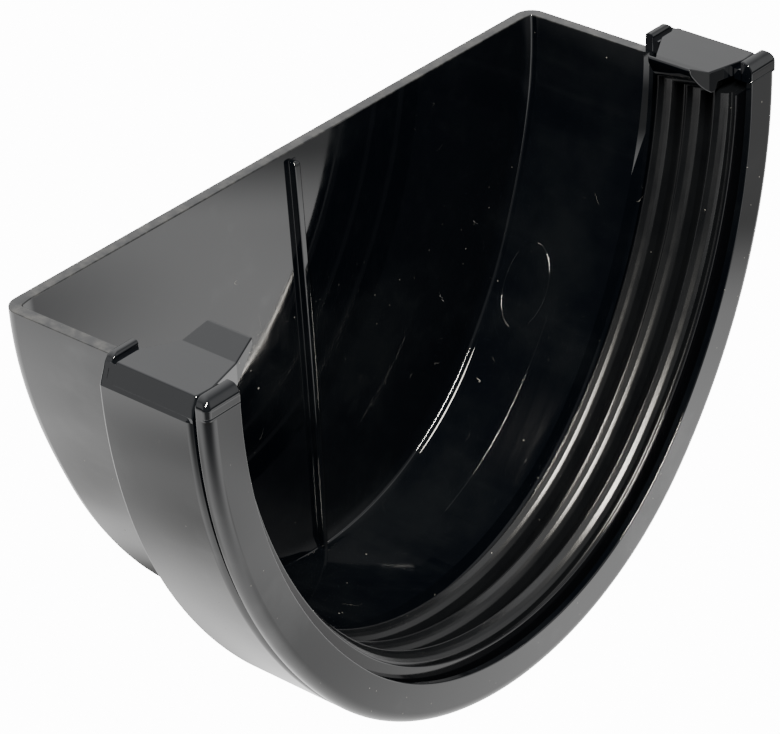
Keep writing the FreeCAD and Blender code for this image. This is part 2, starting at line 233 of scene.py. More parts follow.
def section(t, off, inset, draw=0.0):
    """Point on the gutter section moved outwards by off, its sides moved in by inset, drawn in by draw.

    t runs from -1 at one top edge to +1 at the other. The middle share of t turns on the bottom arc and
    the rest on two side arcs, all tangent: y = centre + radius * sin(angle) and
    z = centre - radius * cos(angle). Drawing in shortens the radius, in full below and eased to nothing
    at the top edges.
    """
    half_width = MOUTH_HALF_WIDTH - inset + off
    depth = MOUTH_DEPTH + off
    radius = MOUTH_RADIUS + off
    drop = depth - radius
    side_radius = (half_width ** 2 + drop ** 2 - radius ** 2) / (2 * (half_width - radius))
    meet = np.arctan2(side_radius - half_width, drop)
    reach = np.abs(t)
    beyond = (reach - BOTTOM_SHARE) / (1 - BOTTOM_SHARE)
    on_side = reach > BOTTOM_SHARE
    angle = np.sign(t) * np.where(on_side, meet + (math.pi / 2 - meet) * beyond, meet * reach / BOTTOM_SHARE)
    share = np.clip((1 - reach) / TROUGH_EASE, 0, 1)
    turn = np.where(on_side, side_radius, radius) - draw * share ** 2 * (3 - 2 * share)
    y = np.where(on_side, -np.sign(t) * (side_radius - half_width), 0.0) + turn * np.sin(angle)
    z = np.where(on_side, 0.0, -drop) - turn * np.cos(angle)
    return y, z


def rounded_path(corners):
    """Polyline through corners (x, off, radius, mark) with each corner turned into an arc of its radius.

    The mark, an inset or a share of polish, is carried along to the arc's points. An arc leaves its corner
    at radius / tan(half the angle), shortened where two arcs share a short side.
    A support point close to each end of an arc keeps the flats flat when the surface is shaded smooth.
    """
    corners = np.array(corners, float)
    way = np.diff(corners[:, :2], axis=0)
    length = np.linalg.norm(way, axis=1)
    way = way / length[:, None]
    half = np.arccos(np.clip(-np.sum(way[:-1] * way[1:], axis=1), -1, 1)) / 2
    leave = np.zeros(len(corners))
    leave[1:-1] = corners[1:-1, 2] / np.tan(half)
    room = np.minimum(1, ARC_ROOM * length / np.maximum(leave[:-1] + leave[1:], TINY))
    leave[1:-1] *= np.minimum(room[:-1], room[1:])
    gap = np.minimum(SUPPORT_GAP, GAP_SHARE * (length - leave[:-1] - leave[1:]))
    rows = [corners[0]]
    for number, here in enumerate(corners[1:-1], start=1):
        if here[2] == 0:
            rows.append(here)
            continue
        to_before, to_after = -way[number - 1], way[number]
        radius = leave[number] * math.tan(half[number - 1])
        middle = to_before + to_after
        centre = here[:2] + middle / np.linalg.norm(middle) * radius / math.sin(half[number - 1])
        first = here[:2] + to_before * leave[number] - centre
        last = here[:2] + to_after * leave[number] - centre
        total = math.pi - 2 * half[number - 1]
        share = np.linspace(0, 1, ARC_STEPS)[:, None]
        arc = (first * np.sin((1 - share) * total) + last * np.sin(share * total)) / math.sin(total)
        points = np.vstack([first + to_before * gap[number - 1], arc, last + to_after * gap[number]]) + centre
        rows.extend(np.column_stack([points, np.zeros(len(points)), np.full(len(points), here[3])]))
    rows.append(corners[-1])
    return np.array(rows)


def grid_faces(rows, columns, wrap=False):
    """Quads of a grid of vertices, numbered row by row; wrap joins the last column to the first."""
    row = np.arange(rows - 1)[:, None]
    column = np.arange(columns if wrap else columns - 1)[None, :]
    following = (column + 1) % columns
    quads = [row * columns + column, row * columns + following,
             (row + 1) * columns + following, (row + 1) * columns + column]
    return np.stack(quads, axis=-1).reshape(-1, 4).tolist()


def plate_bow(z):
    """How far the end plate's inner face comes forward at a height: a bow that steepens towards the top.

    With depth d below the top as a share of the mouth's depth, it is (2d - d^2) * draft * mouth depth.
    """
    depth = np.clip(-np.asarray(z) / MOUTH_DEPTH, 0, 1)
    return (2 * depth - depth ** 2) * PLATE_DRAFT * MOUTH_DEPTH


def trough_shell():
    """The whole trough with its end plate and socket, as one profile carried along the section.

    The profile starts at the middle of the plate's inner face, runs along the trough's inside to the
    mouth, turns round the rim and comes back outside to the middle of the plate's outer face. On the
    plate y is scaled to nothing and x comes forward with the plate's bow. The trough's top edge is
    rounded by drawing the profile into the wall by r * (1 - cos) while it rises by r * sin. Near the top
    the socket's outside leans in with the clip's facet.
    """
    inner_x = PLATE_X + PLATE_THICKNESS
    groove_off = SOCKET_OFFSET - GROOVE_DEPTH
    corners = [
        (inner_x, PLATE_INNER_START, 0, BODY_INSET), (inner_x, -FOOT_ROLL, FOOT_ROLL_R, BODY_INSET),
        (inner_x + FOOT_ROLL * FOOT_SLOPE, 0, PLATE_ROOT_R, BODY_INSET),
        (FLARE_X, 0, 0, BODY_INSET), (FLARE_X + FLARE_RUN, FLARE_STEP, 0, BODY_INSET),
        (RECESS_X, LEDGE_STEP, 0, BODY_INSET), (RECESS_X, RECESS_DEPTH, 0, 0),
        (LIP_X, RECESS_DEPTH, 0, 0), (LIP_X, LIP_UNDERCUT, FINE_R, 0), (0, 0, FINE_R, 0),
        (0, SOCKET_OFFSET, RIM_CORNER_R, 0), (GROOVE_FRONT_X, SOCKET_OFFSET, GROOVE_EDGE_R, 0),
        (GROOVE_FRONT_X, groove_off, 0, 0), (GROOVE_BACK_X, groove_off, 0, 0),
        (GROOVE_BACK_X, SOCKET_OFFSET, BEAD_R, 0), (SHOULDER_X, SOCKET_OFFSET, SHOULDER_R, 0),
        (SHOULDER_X, BODY_WALL, 0, BODY_INSET), (PLATE_X, BODY_WALL, PLATE_CORNER_R, BODY_INSET),
        (PLATE_X, PLATE_OUTER_END, 0, BODY_INSET),
    ]
    path = rounded_path(corners)
    shares = np.array([0.0, 0.5])
    first, last = np.repeat(path[:1], 2, axis=0), np.repeat(path[-1:], 2, axis=0)
    path = np.vstack([first, path, last])
    x, off, inset = path[:, 0], path[:, 1], path[:, 3]
    scale = np.concatenate([shares, np.ones(len(path) - 4), shares[::-1]])
    along = np.gradient(x), np.gradient(off)
    length = np.maximum(np.hypot(*along), TINY)
    away = along[1] / length, -along[0] / length
    away[0][:2], away[1][:2] = 1, 0
    away[0][-2:], away[1][-2:] = -1, 0
    order = np.arange(len(path))
    mouth_row = np.argmax(x)
    wall = (x < SHOULDER_X + SUPPORT_GAP) & ((order < mouth_row) | (off <= BODY_WALL))
    on_plate = order < np.argmax(x > BOW_END_X)

    top_t = 1 - TOP_EDGE_R / (MOUTH_HALF_WIDTH * TOP_EDGE_SHARE)
    near_top = 1 - np.array(TOP_DEPTHS) / SIDE_LENGTH
    t = np.unique(np.concatenate([np.linspace(-top_t, top_t, PATH_STEPS), near_top, -near_top]))
    rise = np.linspace(0, math.pi / 2, EDGE_STEPS)
    round_in = TOP_EDGE_R * (1 - np.cos(rise))
    draw = np.concatenate([round_in[::-1], np.zeros(len(t)), round_in])
    lift = TOP_EDGE_R * (np.sin(rise) - 1)
    t = np.concatenate([np.full(EDGE_STEPS, -1.0), t, np.full(EDGE_STEPS, 1.0)])
    drawn = draw[None, :] * wall[:, None]
    drawn_in = np.where(order < mouth_row, trough_in(x, FLARE_X), trough_in(x, SHOULDER_X))
    y, z = section(t[None, :], off[:, None] - drawn * away[1][:, None], inset[:, None],
                   (drawn_in * (off < BODY_WALL + SUPPORT_GAP))[:, None])
    z[:, :EDGE_STEPS] = lift[::-1]
    z[:, -EDGE_STEPS:] = lift
    band = (order > mouth_row) & (x <= GROOVE_BACK_X) & (x >= SHOULDER_X - HAIR) & (off > groove_off - HAIR)
    lean_in = MOUTH_HALF_WIDTH + SOCKET_OFFSET - facet_wall(z, CLIP_TOP)
    y = y - np.sign(y) * lean_in * band[:, None]
    grid_x = x[:, None] - drawn * away[0][:, None] + on_plate[:, None] * plate_bow(z)
    grid = np.stack([grid_x, y * scale[:, None], z], axis=-1)
    rows, columns = grid.shape[:2]
    faces = grid_faces(rows, columns)
    start = np.arange(rows) * columns
    faces.append(start.tolist())
    faces.append((start + columns - 1)[::-1].tolist())
    return grid.reshape(-1, 3), [face[::-1] for face in faces]


def rounded_slices(low_u, high_u, low_v, high_v, radii, place):
    """Stack of rounded rectangles, one for each level, closed at both ends.

    Each slice is a rectangle from low to high in u and v whose four corners are arcs of their own radii,
    limited by a share of the smaller side, with a support point at both ends. place turns u, v and the
    level's number into x, y and z.
    """
    low_u, high_u, low_v, high_v = np.broadcast_arrays(*map(np.asarray, (low_u, high_u, low_v, high_v)))
    room = np.maximum(np.minimum(high_u - low_u, high_v - low_v) * CORNER_SHARE, LEAST_ROOM)
    angle = np.linspace(0, math.pi / 2, ARC_STEPS)[None, :]
    gap = np.minimum(SUPPORT_GAP, room[:, None] * GAP_SHARE / 2)
    sides = ((high_u, high_v, -1, -1), (low_u, high_v, 1, -1), (low_u, low_v, 1, 1), (high_u, low_v, -1, 1))
    u_parts, v_parts = [], []
    for number, (corner_u, corner_v, in_u, in_v) in enumerate(sides):
        radius = np.minimum(radii[number], room)[:, None]
        turn = angle + number * math.pi / 2
        u = corner_u[:, None] + in_u * radius + radius * np.cos(turn)
        v = corner_v[:, None] + in_v * radius + radius * np.sin(turn)
        first, last = turn[:, :1], turn[:, -1:]
        u_parts.append(np.hstack([u[:, :1] + gap * np.sin(first), u, u[:, -1:] - gap * np.sin(last)]))
        v_parts.append(np.hstack([v[:, :1] - gap * np.cos(first), v, v[:, -1:] + gap * np.cos(last)]))
    u, v = np.hstack(u_parts), np.hstack(v_parts)
    rows, columns = u.shape
    points = place(u, v, np.arange(rows)[:, None] * np.ones((1, columns), int))
    faces = grid_faces(rows, columns, wrap=True)
    faces.append(np.arange(columns)[::-1].tolist())
    faces.append(((rows - 1) * columns + np.arange(columns)).tolist())
    return np.stack(points, axis=-1).reshape(-1, 3), faces


def round_over(height, top, radius):
    """How far a wall draws back at a height near its top: r - sqrt(r^2 - climb^2) above the round's start."""
    climb = np.clip(np.asarray(height, float) - (top - radius), 0, radius)
    return radius - np.sqrt(radius ** 2 - climb ** 2)


def levels(bottom, top, count):
    """Heights from bottom to top that close up towards the top, as the sine of even steps."""
    return bottom + (top - bottom) * np.sin(np.linspace(0, math.pi / 2, count))


def facet_wall(z, top):
    """Place of the outer wall at a height: a flat facet leans inwards from FACET_LOW up to the top.

    Above FACET_LOW the wall draws in by FACET_WIDTH * climb / full climb, and near the top by a small arc.
    """
    lean = FACET_WIDTH * np.clip((np.asarray(z, float) - FACET_LOW) / (top - FACET_LOW), 0, 1)
    return MOUTH_HALF_WIDTH + SOCKET_OFFSET - lean - round_over(z, top, FACET_SOFT)


def rim_end():
    """Top end of the mouth rim: slices whose front follows the nose's arc and whose outside is rounded.

    A fine crease crosses the front where the end stands on the rim.
    """
    rise = RIM_END_TOP - NOSE_HEIGHT
    z = np.concatenate([np.linspace(0, CREASE_Z - 1.2 * CREASE_REACH, 4),
                        CREASE_Z + np.linspace(-CREASE_REACH, CREASE_REACH, 7),
                        np.linspace(CREASE_Z + 1.5 * CREASE_REACH, rise - CREASE_REACH, 8),
                        levels(rise, RIM_END_TOP, 22)])
    nose_r = (NOSE_LENGTH ** 2 + NOSE_HEIGHT ** 2) / (2 * NOSE_HEIGHT)
    climb = np.maximum(z, rise) - (RIM_END_TOP - nose_r)
    front = np.sqrt(np.maximum(nose_r ** 2 - climb ** 2, 0)) - NOSE_LENGTH
    front = front - CREASE_DEPTH * np.exp(-((z - CREASE_Z) / CREASE_WIDTH) ** 2)
    bead = GROOVE_FRONT_X + round_over(z, RIM_END_TOP, -NOSE_LENGTH - GROOVE_FRONT_X)
    outer = MOUTH_HALF_WIDTH + SOCKET_OFFSET - round_over(z, RIM_END_TOP, RIM_END_ROUND)
    inner = MOUTH_HALF_WIDTH + round_over(z, RIM_END_TOP, RIM_END_INNER_R)
    return rounded_slices(bead, front, inner, outer, (RIM_CORNER_R, 1.5 * FINE_R, FINE_R, FINE_R),
                          lambda u, v, row: (u, v, z[row]))


def upstand():
    """Thin wall behind the clip: slices along z with rounded top edges and a faceted outer corner."""
    z = np.concatenate([np.linspace(0, 0.4, 6), levels(UPSTAND_TOP - UPSTAND_ROUND, UPSTAND_TOP, 24)])
    edge = round_over(z, UPSTAND_TOP, UPSTAND_EDGE_R)
    outer = facet_wall(np.minimum(z, CLIP_TOP - FACET_SOFT), CLIP_TOP)
    outer = outer - round_over(z, UPSTAND_TOP, UPSTAND_OUTER_R)
    inner = UPSTAND_INNER_Y + round_over(z, UPSTAND_TOP, UPSTAND_INNER_R)
    return rounded_slices(SHOULDER_X + edge, UPSTAND_FRONT_X - edge, inner, outer,
                          (FINE_R, SHOULDER_R, UPSTAND_INNER_R, UPSTAND_INNER_R),
                          lambda u, v, row: (u, v, z[row]))


def groove_floor(back, front, top, inner, depth):
    """Small block that closes a groove or slot from below, its outer side a facet sunk by depth."""
    z = np.linspace(0, top, 20)
    wall = facet_wall(z, CLIP_TOP) - depth
    return rounded_slices(np.full(len(z), back), front, inner, wall, (HAIR, HAIR, HAIR, HAIR),
                          lambda u, v, row: (u, v, z[row]))


def clip():
    """Strap, thumb tab and hook: slices across the gutter between a top and an underside curve.

    From the outer wall inwards the top climbs a flat facet, runs level to the fold and rises to the tab's
    tip. The underside is level, drops to the hook and follows a hollow ramp up to the tip. The plan narrows
    from the strap's root to the fold and from the fold to the tip.
    """
    climb = np.concatenate([np.linspace(FACET_LAP, CLIP_TOP - FACET_SOFT - 2 * HAIR, 12),
                            levels(CLIP_TOP - FACET_SOFT, CLIP_TOP, 9)])
    facet = facet_wall(climb, CLIP_TOP) + FACET_PROUD
    outer = facet[0]
    root = MOUTH_HALF_WIDTH + RECESS_DEPTH
    y = np.concatenate([
        facet, [facet[-1] - SUPPORT_GAP, root + HAIR, root - HAIR],
        np.linspace(root - ROOT_CLEAR, HOOK_ROOT_Y + 2 * HAIR, 14), np.linspace(HOOK_ROOT_Y, HOOK_BACK_Y, 6),
        np.linspace(HOOK_BACK_Y - 2 * SUPPORT_GAP, HOOK_FRONT_Y, 6), [FOLD_Y + SUPPORT_GAP, FOLD_Y],
        np.linspace(FOLD_Y - SUPPORT_GAP, TAB_TIP_Y + TIP_R, 22),
        TAB_TIP_Y + TIP_R * np.cos(np.linspace(0, math.pi / 2, 9)[1:])])
    y = np.unique(y)[::-1]
    top = np.interp(y, np.concatenate([[TAB_TIP_Y, FOLD_Y], facet[::-1]]),
                    np.concatenate([[TAB_TOP, CLIP_TOP], climb[::-1]]))
    share = np.clip((HOOK_FRONT_Y - y) / (HOOK_FRONT_Y - TAB_TIP_Y), 0, 1)
    ramp = HOOK_LOW + (TAB_TOP - TAB_THICKNESS - HOOK_LOW) * share
    ramp = ramp - HOOK_HOLLOW * np.sin(math.pi * share)
    bead_y = MOUTH_HALF_WIDTH + SOCKET_OFFSET - BEAD_R
    under = np.interp(y, [HOOK_BACK_Y, HOOK_ROOT_Y, root, root + ROOT_STEP, bead_y - BEAD_EASE, bead_y],
                      [HOOK_LOW, CLIP_UNDER, CLIP_UNDER, ROOT_LOW, ROOT_LOW, FACET_LOW])
    under = np.where(y <= HOOK_FRONT_Y, ramp, under)
    tip = round_over(-y, -TAB_TIP_Y, TIP_R)
    back = np.interp(y, [TAB_TIP_Y, FOLD_Y, MOUTH_HALF_WIDTH + 1],
                     [FOLD_BACK_X + TAB_BACK_TAPER, FOLD_BACK_X, CLIP_BACK_X])
    front = np.interp(y, [TAB_TIP_Y, FOLD_Y, MOUTH_HALF_WIDTH + 2],
                      [FOLD_FRONT_X - TAB_FRONT_TAPER, FOLD_FRONT_X, GROOVE_BACK_X])
    lower_r = np.where(y > root, SHARP_R, FINE_R)
    bead_r = np.interp(y, [root - 2, root, outer], [STRAP_EDGE_R, STRAP_FRONT_R, BEAD_R])
    return rounded_slices(back + tip * TIP_NARROWING, front - tip * TIP_NARROWING, under + tip, top - tip,
                          (bead_r, STRAP_EDGE_R, lower_r, lower_r), lambda u, v, row: (u, y[row], v))


def plate_rib():
    """Rib on the end plate: slices along z that narrow downwards, follow the bow and round at the top."""
    foot_z = TROUGH_IN - MOUTH_DEPTH - BODY_WALL / 2
    end_z = RIB_TOP_Z - RIB_END_LENGTH
    z = np.concatenate([np.linspace(foot_z, end_z, 24), levels(end_z + 2 * HAIR, RIB_TOP_Z, 9)])
    plate = PLATE_X + PLATE_THICKNESS + plate_bow(z)
    half = np.interp(z, [foot_z, RIB_TOP_Z], [RIB_FOOT_WIDTH / 2, RIB_TOP_WIDTH / 2])
    end = round_over(z, RIB_TOP_Z, RIB_END_R)
    return rounded_slices(plate - PLATE_THICKNESS / 2, plate + RIB_HEIGHT - end, end - half, half - end,
                          (RIB_EDGE_R, HAIR, HAIR, RIB_EDGE_R), lambda u, v, row: (u, v, z[row]))


def rib_root():
    """Small bead where the rib stands on the plate: the rib's slices, a little wider and very low."""
    z = np.linspace(TROUGH_IN - MOUTH_DEPTH - BODY_WALL / 2, RIB_TOP_Z + ROOT_BEAD / 2, 30)
    plate = PLATE_X + PLATE_THICKNESS + plate_bow(z)
    half = np.interp(z, [z[0], z[-1]], [RIB_FOOT_WIDTH / 2, RIB_TOP_WIDTH / 2]) + ROOT_BEAD
    return rounded_slices(plate - PLATE_THICKNESS / 2, plate + ROOT_BEAD * 0.9, -half, half,
                          (ROOT_BEAD * 0.8, HAIR, HAIR, ROOT_BEAD * 0.8), lambda u, v, row: (u, v, z[row]))


def wall_line(x, angle, radius):
    """Fine raised line on the trough's inner wall: a half-round of the given radius along x and angle.

    angle is the section's own angle on the side arc, from the bottom; the half-round leans from the wall's
    tangent to its normal, across the way the line runs.
    """
    half_width = MOUTH_HALF_WIDTH - BODY_INSET
    drop = MOUTH_DEPTH - MOUTH_RADIUS
    side_radius = (half_width ** 2 + drop ** 2 - MOUTH_RADIUS ** 2) / (2 * (half_width - MOUTH_RADIUS))
    meet = math.atan2(side_radius - half_width, drop)
    on_side = angle > meet
    turn = np.where(on_side, side_radius, MOUTH_RADIUS)
    along = np.column_stack([np.gradient(x), turn * np.gradient(angle)])
    along = along / np.linalg.norm(along, axis=1)[:, None]
    lean = np.linspace(0, math.pi, LINE_STEPS)[None, :]
    across = radius * np.cos(lean)
    here = angle[:, None] + across * along[:, :1] / turn[:, None]
    depth = turn[:, None] - trough_in(x, FLARE_X)[:, None] - radius * (np.sin(lean) - LINE_SUNK)
    y = np.where(on_side, half_width - side_radius, 0.0)[:, None] + depth * np.sin(here)
    z = np.where(on_side, 0.0, -drop)[:, None] - depth * np.cos(here)
    grid = np.stack([x[:, None] - across * along[:, 1:], y, z], axis=-1)
    rows, columns = grid.shape[:2]
    faces = grid_faces(rows, columns, wrap=True)
    faces.append(np.arange(columns)[::-1].tolist())
    faces.append(((rows - 1) * columns + np.arange(columns)).tolist())
    return grid.reshape(-1, 3), faces


def parting_line():
    """Line left by the mould on the far wall: straight up the wall, with a short foot towards the mouth."""
    climb = np.radians(np.linspace(*PARTING_ANGLES, 60))
    foot = np.linspace(PARTING_FOOT_X, PARTING_X, 20)[:-1]
    x = np.concatenate([foot, np.full(len(climb), PARTING_X)])
    return wall_line(x, np.concatenate([np.full(len(foot), climb[0]), climb]), LINE_R)


def pin_ring():
    """Round mark of an ejector pin on the far wall: a circle in the wall's own surface."""
    turn = np.linspace(0, 2 * math.pi, 72)
    x = PIN_X + PIN_R * np.cos(turn)
    return wall_line(x, PIN_ANGLE + PIN_R * np.sin(turn) / MOUTH_RADIUS, LINE_R)


def mirrored(shape):
    """The same shape on the other side of the gutter, with its faces turned to point outwards."""
    points, faces = shape
    return points * (1, -1, 1), [face[::-1] for face in faces]


def seal_profile():
    """Corners (x, off, radius, crest) of the seal's profile, from its back round the base to the back fin.

    A flat front border stands behind the lip, then come a broad front fin and two sharp ones. Each sharp
    fin has a thin crest, a short blade in front of it and a convex belly that falls to the valley. crest is
    1 where the edge is polished.
    """
    back, base_front = SEAL_LOW[0], SEAL_HIGH[0]
    front = base_front - BORDER_SETBACK
    base = RECESS_DEPTH - SEAL_CLEARANCE
    corners = [(back, base, 0, 0), (base_front, base, SEAL_EDGE_R, 0)]
    corners.append((base_front, BORDER_BASE, SEAL_EDGE_R, 0))
    corners += [(front - step, off, radius, crest) for step, off, radius, crest in BORDER]
    for step, drop, radius in FRONT_FIN_CORNERS:
        corners.append((FRONT_FIN_X + step, drop - FRONT_FIN_RISE, radius, step == 0))
    corners.append((FRONT_FIN_X - FIN_BACK, VALLEY, VALLEY_R, 0))
    for crest_x, rise in SHARP_FINS:
        corners.append((crest_x + FIN_FOOT, VALLEY, FIN_FOOT_R, 0))
        for step, drop, radius in SHARP_FIN_CORNERS:
            corners.append((crest_x + step, drop - rise, radius, step == 0))
        corners.append((crest_x - FIN_BACK, VALLEY, VALLEY_R, 0))
    return corners + [(back, VALLEY, SEAL_EDGE_R, 0), (back, base, 0, 0)]


def seal_strip():
    """The seal's profile carried along the mouth's section, with the ends cut level.

    The profile's heights inside the mouth's line fade towards the top ends.
    """
    path = rounded_path(seal_profile())
    x, off = path[:, 0], path[:, 1]
    top_z = SEAL_HIGH[2]
    top_t = 1 + top_z / (MOUTH_HALF_WIDTH * SEAL_END_SHARE)
    t = np.linspace(-top_t, top_t, PATH_STEPS)
    fade = 1 - END_FADE * np.clip((np.abs(t) - FADE_START) / (1 - FADE_START), 0, 1) ** 2
    reach = np.where(off[:, None] < 0, off[:, None] * fade[None, :], off[:, None])
    y, z = section(t[None, :], reach, 0.0)
    z[:, [0, -1]] = top_z
    grid = np.stack([np.broadcast_to(x[:, None], y.shape), y, z], axis=-1)[:-1]
    rows, columns = grid.shape[:2]
    faces = grid_faces(rows, columns)
    last = (rows - 1) * columns
    column = np.arange(columns - 1)
    faces += np.stack([last + column, last + column + 1, column + 1, column], axis=-1).tolist()
    start = np.arange(rows) * columns
    faces.append(start.tolist())
    faces.append((start + columns - 1)[::-1].tolist())
    return grid.reshape(-1, 3), faces, np.repeat(path[:-1, 3], columns)


def make_piece(name, shapes, material, node, crest=None):
    """One object from several closed shapes, shaded smooth except at sharp edges.

    crest, where given, is a share of polish for each vertex.
    """
    points, faces, offset = [], [], 0
    for shape_points, shape_faces in shapes:
        points.append(shape_points)
        faces += [[corner + offset for corner in face] for face in shape_faces]
        offset += len(shape_points)
    mesh = bpy.data.meshes.new(name)
    mesh.from_pydata(np.vstack(points) * MM, [], faces)
    mesh.polygons.foreach_set("use_smooth", np.ones(len(mesh.polygons), bool))
    if crest is not None:
        mesh.attributes.new("crest", "FLOAT", "POINT").data.foreach_set("value", crest.astype(np.float32))
    piece = bpy.data.objects.new(name, mesh)
    bpy.context.scene.collection.objects.link(piece)
    tidy_mesh(mesh)
    mesh.set_sharp_from_angle(angle=SHARP_ANGLE)
    mesh.materials.append(material)
    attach(piece, "root")
    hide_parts(node)


def tidy_mesh(mesh):
    """Merge vertices that coincide, so that seams and folds in the grids are closed."""
    work = bmesh.new()
    work.from_mesh(mesh)
    bmesh.ops.remove_doubles(work, verts=work.verts, dist=MERGE_DISTANCE)
    bmesh.ops.dissolve_degenerate(work, dist=FLAT_EDGE, edges=work.edges)
    work.to_mesh(mesh)
    work.free()


# Materials: colours, then gloss, then depths in metres, then scales of the patterns

PLASTIC_DEEP = (0.0004, 0.0006, 0.001, 1)
PLASTIC_HAZE = (0.0012, 0.0015, 0.0019, 1)
PLASTIC_SCRATCH = (0.012, 0.012, 0.012, 1)
PLASTIC_WORN = (0.015, 0.015, 0.0145, 1)
DUST_COLOUR = (0.09, 0.088, 0.08, 1)
RUBBER_MATT = (0.0014, 0.0016, 0.0019, 1)
RUBBER_GLOSSY = (0.0008, 0.0009, 0.0012, 1)
PLASTIC_IOR = 1.5
PLASTIC_GLOSS, PLASTIC_SMUDGED = 0.025, 0.085
WORN_ROUGH, DUST_ROUGH = 0.28, 0.8
HAZE_WEIGHT, HAZE_ROUGH = 0.13, 0.05
RUBBER_IOR = 1.4
RUBBER_ROUGH, RUBBER_SMOOTH = 0.26, 0.1
POLISHED_GRAIN = 0.1
EDGE_REACH = 0.35
SKIN_DEPTH = 0.0000025
GRAIN_DEPTH = 0.000009
# Specks: scale, size and share of cells. Threads: scale, width and share
DUST_COVER_SCALE = 55.0
FINE_DUST = 620.0, 0.085, 0.12
CRUMBS = 170.0, 0.032, 0.2
FIBRES = 150.0, 0.0013, 0.29
SCRATCHES_ACROSS = 210.0, 0.001, 0.31
SCRATCHES_DOWN = 160.0, 0.001, 0.3
SMUDGE_SCALE = 42.0
FLOW_SCALE, FLOW_SHARE = 320.0, 0.35
WEAR_SCALE = 420.0
WAVE_SCALE = 120.0
SKIN_GRAIN_SCALE, SKIN_GRAIN_SHARE = 2600.0, 0.012
STREAK_SCALE, STREAK_GLOSS = 160.0, 0.4
RUBBER_GRAIN_SCALE = 5200.0


def new_group(name, outputs):
    """Shader node group with one vector input and the named float outputs: group, input and outputs."""
    group = bpy.data.node_groups.new(name, "ShaderNodeTree")
    group.interface.new_socket("Place", in_out="INPUT", socket_type="NodeSocketVector")
    for output in outputs:
        group.interface.new_socket(output, in_out="OUTPUT", socket_type="NodeSocketFloat")
    place = group.nodes.new("NodeGroupInput").outputs["Place"]
    return group, place, group.nodes.new("NodeGroupOutput").inputs


def add_node(tree, kind, inputs=None, **settings):
    """One node with its settings; an input is a plain value or another node's output."""
    node = tree.nodes.new("ShaderNode" + kind)
    for key, value in settings.items():
        setattr(node, key, value)
    for key, value in (inputs or {}).items():
        if isinstance(value, bpy.types.NodeSocket):
            tree.links.new(value, node.inputs[key])
        else:
            node.inputs[key].default_value = value
    return node


def ramp(tree, value, low, high, to_low=0.0, to_high=1.0):
    """Smooth step of a value from to_low at low to to_high at high."""
    inputs = {"Value": value, "From Min": low, "From Max": high, "To Min": to_low, "To Max": to_high}
    return add_node(tree, "MapRange", inputs, interpolation_type="SMOOTHSTEP").outputs["Result"]


def noise(tree, place, scale, detail=2.0, roughness=0.5, distortion=0.0):
    """Noise value at a place."""
    inputs = {"Vector": place, "Scale": scale, "Detail": detail, "Roughness": roughness,
              "Distortion": distortion}
    return add_node(tree, "TexNoise", inputs).outputs["Fac"]


def times(tree, first, second):
    """Product of two values."""
    return add_node(tree, "Math", {0: first, 1: second}, operation="MULTIPLY").outputs["Value"]


def plus(tree, first, second):
    """Sum of two values."""
    return add_node(tree, "Math", {0: first, 1: second}, operation="ADD").outputs["Value"]


def larger(tree, first, second):
    """Larger of two values."""
    return add_node(tree, "Math", {0: first, 1: second}, operation="MAXIMUM").outputs["Value"]


def stretched(tree, place, scale):
    """Place with each axis scaled by its own share."""
    return add_node(tree, "VectorMath", {0: place, 1: scale}, operation="MULTIPLY").outputs["Vector"]


def specks(tree, place, scale, size, share):
    """Round specks: points of a cell pattern within size of the cell's centre, in a share of the cells."""
    cells = add_node(tree, "TexVoronoi", {"Vector": place, "Scale": scale})
    kept = add_node(tree, "SeparateColor", {"Color": cells.outputs["Color"]}).outputs["Red"]
    spot = ramp(tree, cells.outputs["Distance"], size, size * 0.6)
    return times(tree, spot, ramp(tree, kept, 1 - share, 1 - share * 0.6))


def threads(tree, place, scale, width, share):
    """Thin curved lines: where a noise crosses its middle value, broken up by a coarser noise."""
    field = noise(tree, place, scale, 1.0, 0.4, 0.6)
    apart = add_node(tree, "Math", {0: field, 1: 0.5}, operation="SUBTRACT").outputs["Value"]
    apart = add_node(tree, "Math", {0: apart}, operation="ABSOLUTE").outputs["Value"]
    shift = stretched(tree, place, (1.3, 0.9, 1.1))
    kept = ramp(tree, noise(tree, shift, scale * 0.9), 1 - share, 1.05 - share)
    return times(tree, ramp(tree, apart, width, width * 0.3), kept)


def dust_group():
    """Dust: fine specks, larger crumbs and short fibres, thicker in some places than in others."""
    group, place, outputs = new_group("dust", ("Dust",))
    cover = ramp(group, noise(group, place, DUST_COVER_SCALE), 0.38, 0.62, 0.25, 1.0)
    fine = times(group, specks(group, place, *FINE_DUST), cover)
    crumbs = specks(group, place, *CRUMBS)
    fibres = threads(group, place, *FIBRES)
    group.links.new(larger(group, larger(group, fine, crumbs), fibres), outputs["Dust"])
    return group


def handling_group():
    """Smudges of handling, flow marks of the moulding along the trough, and fine scratches across it."""
    group, place, outputs = new_group("handling", ("Smudge", "Scratch"))
    broad = ramp(group, noise(group, place, SMUDGE_SCALE, 4.0, 0.62), 0.42, 0.72)
    flow = ramp(group, noise(group, stretched(group, place, (0.12, 1.0, 1.0)), FLOW_SCALE, 3.0), 0.5, 0.8)
    group.links.new(plus(group, broad, times(group, flow, FLOW_SHARE)), outputs["Smudge"])
    across = threads(group, stretched(group, place, (1.0, 0.25, 1.0)), *SCRATCHES_ACROSS)
    down = threads(group, stretched(group, place, (1.0, 1.0, 0.18)), *SCRATCHES_DOWN)
    group.links.new(larger(group, across, down), outputs["Scratch"])
    return group


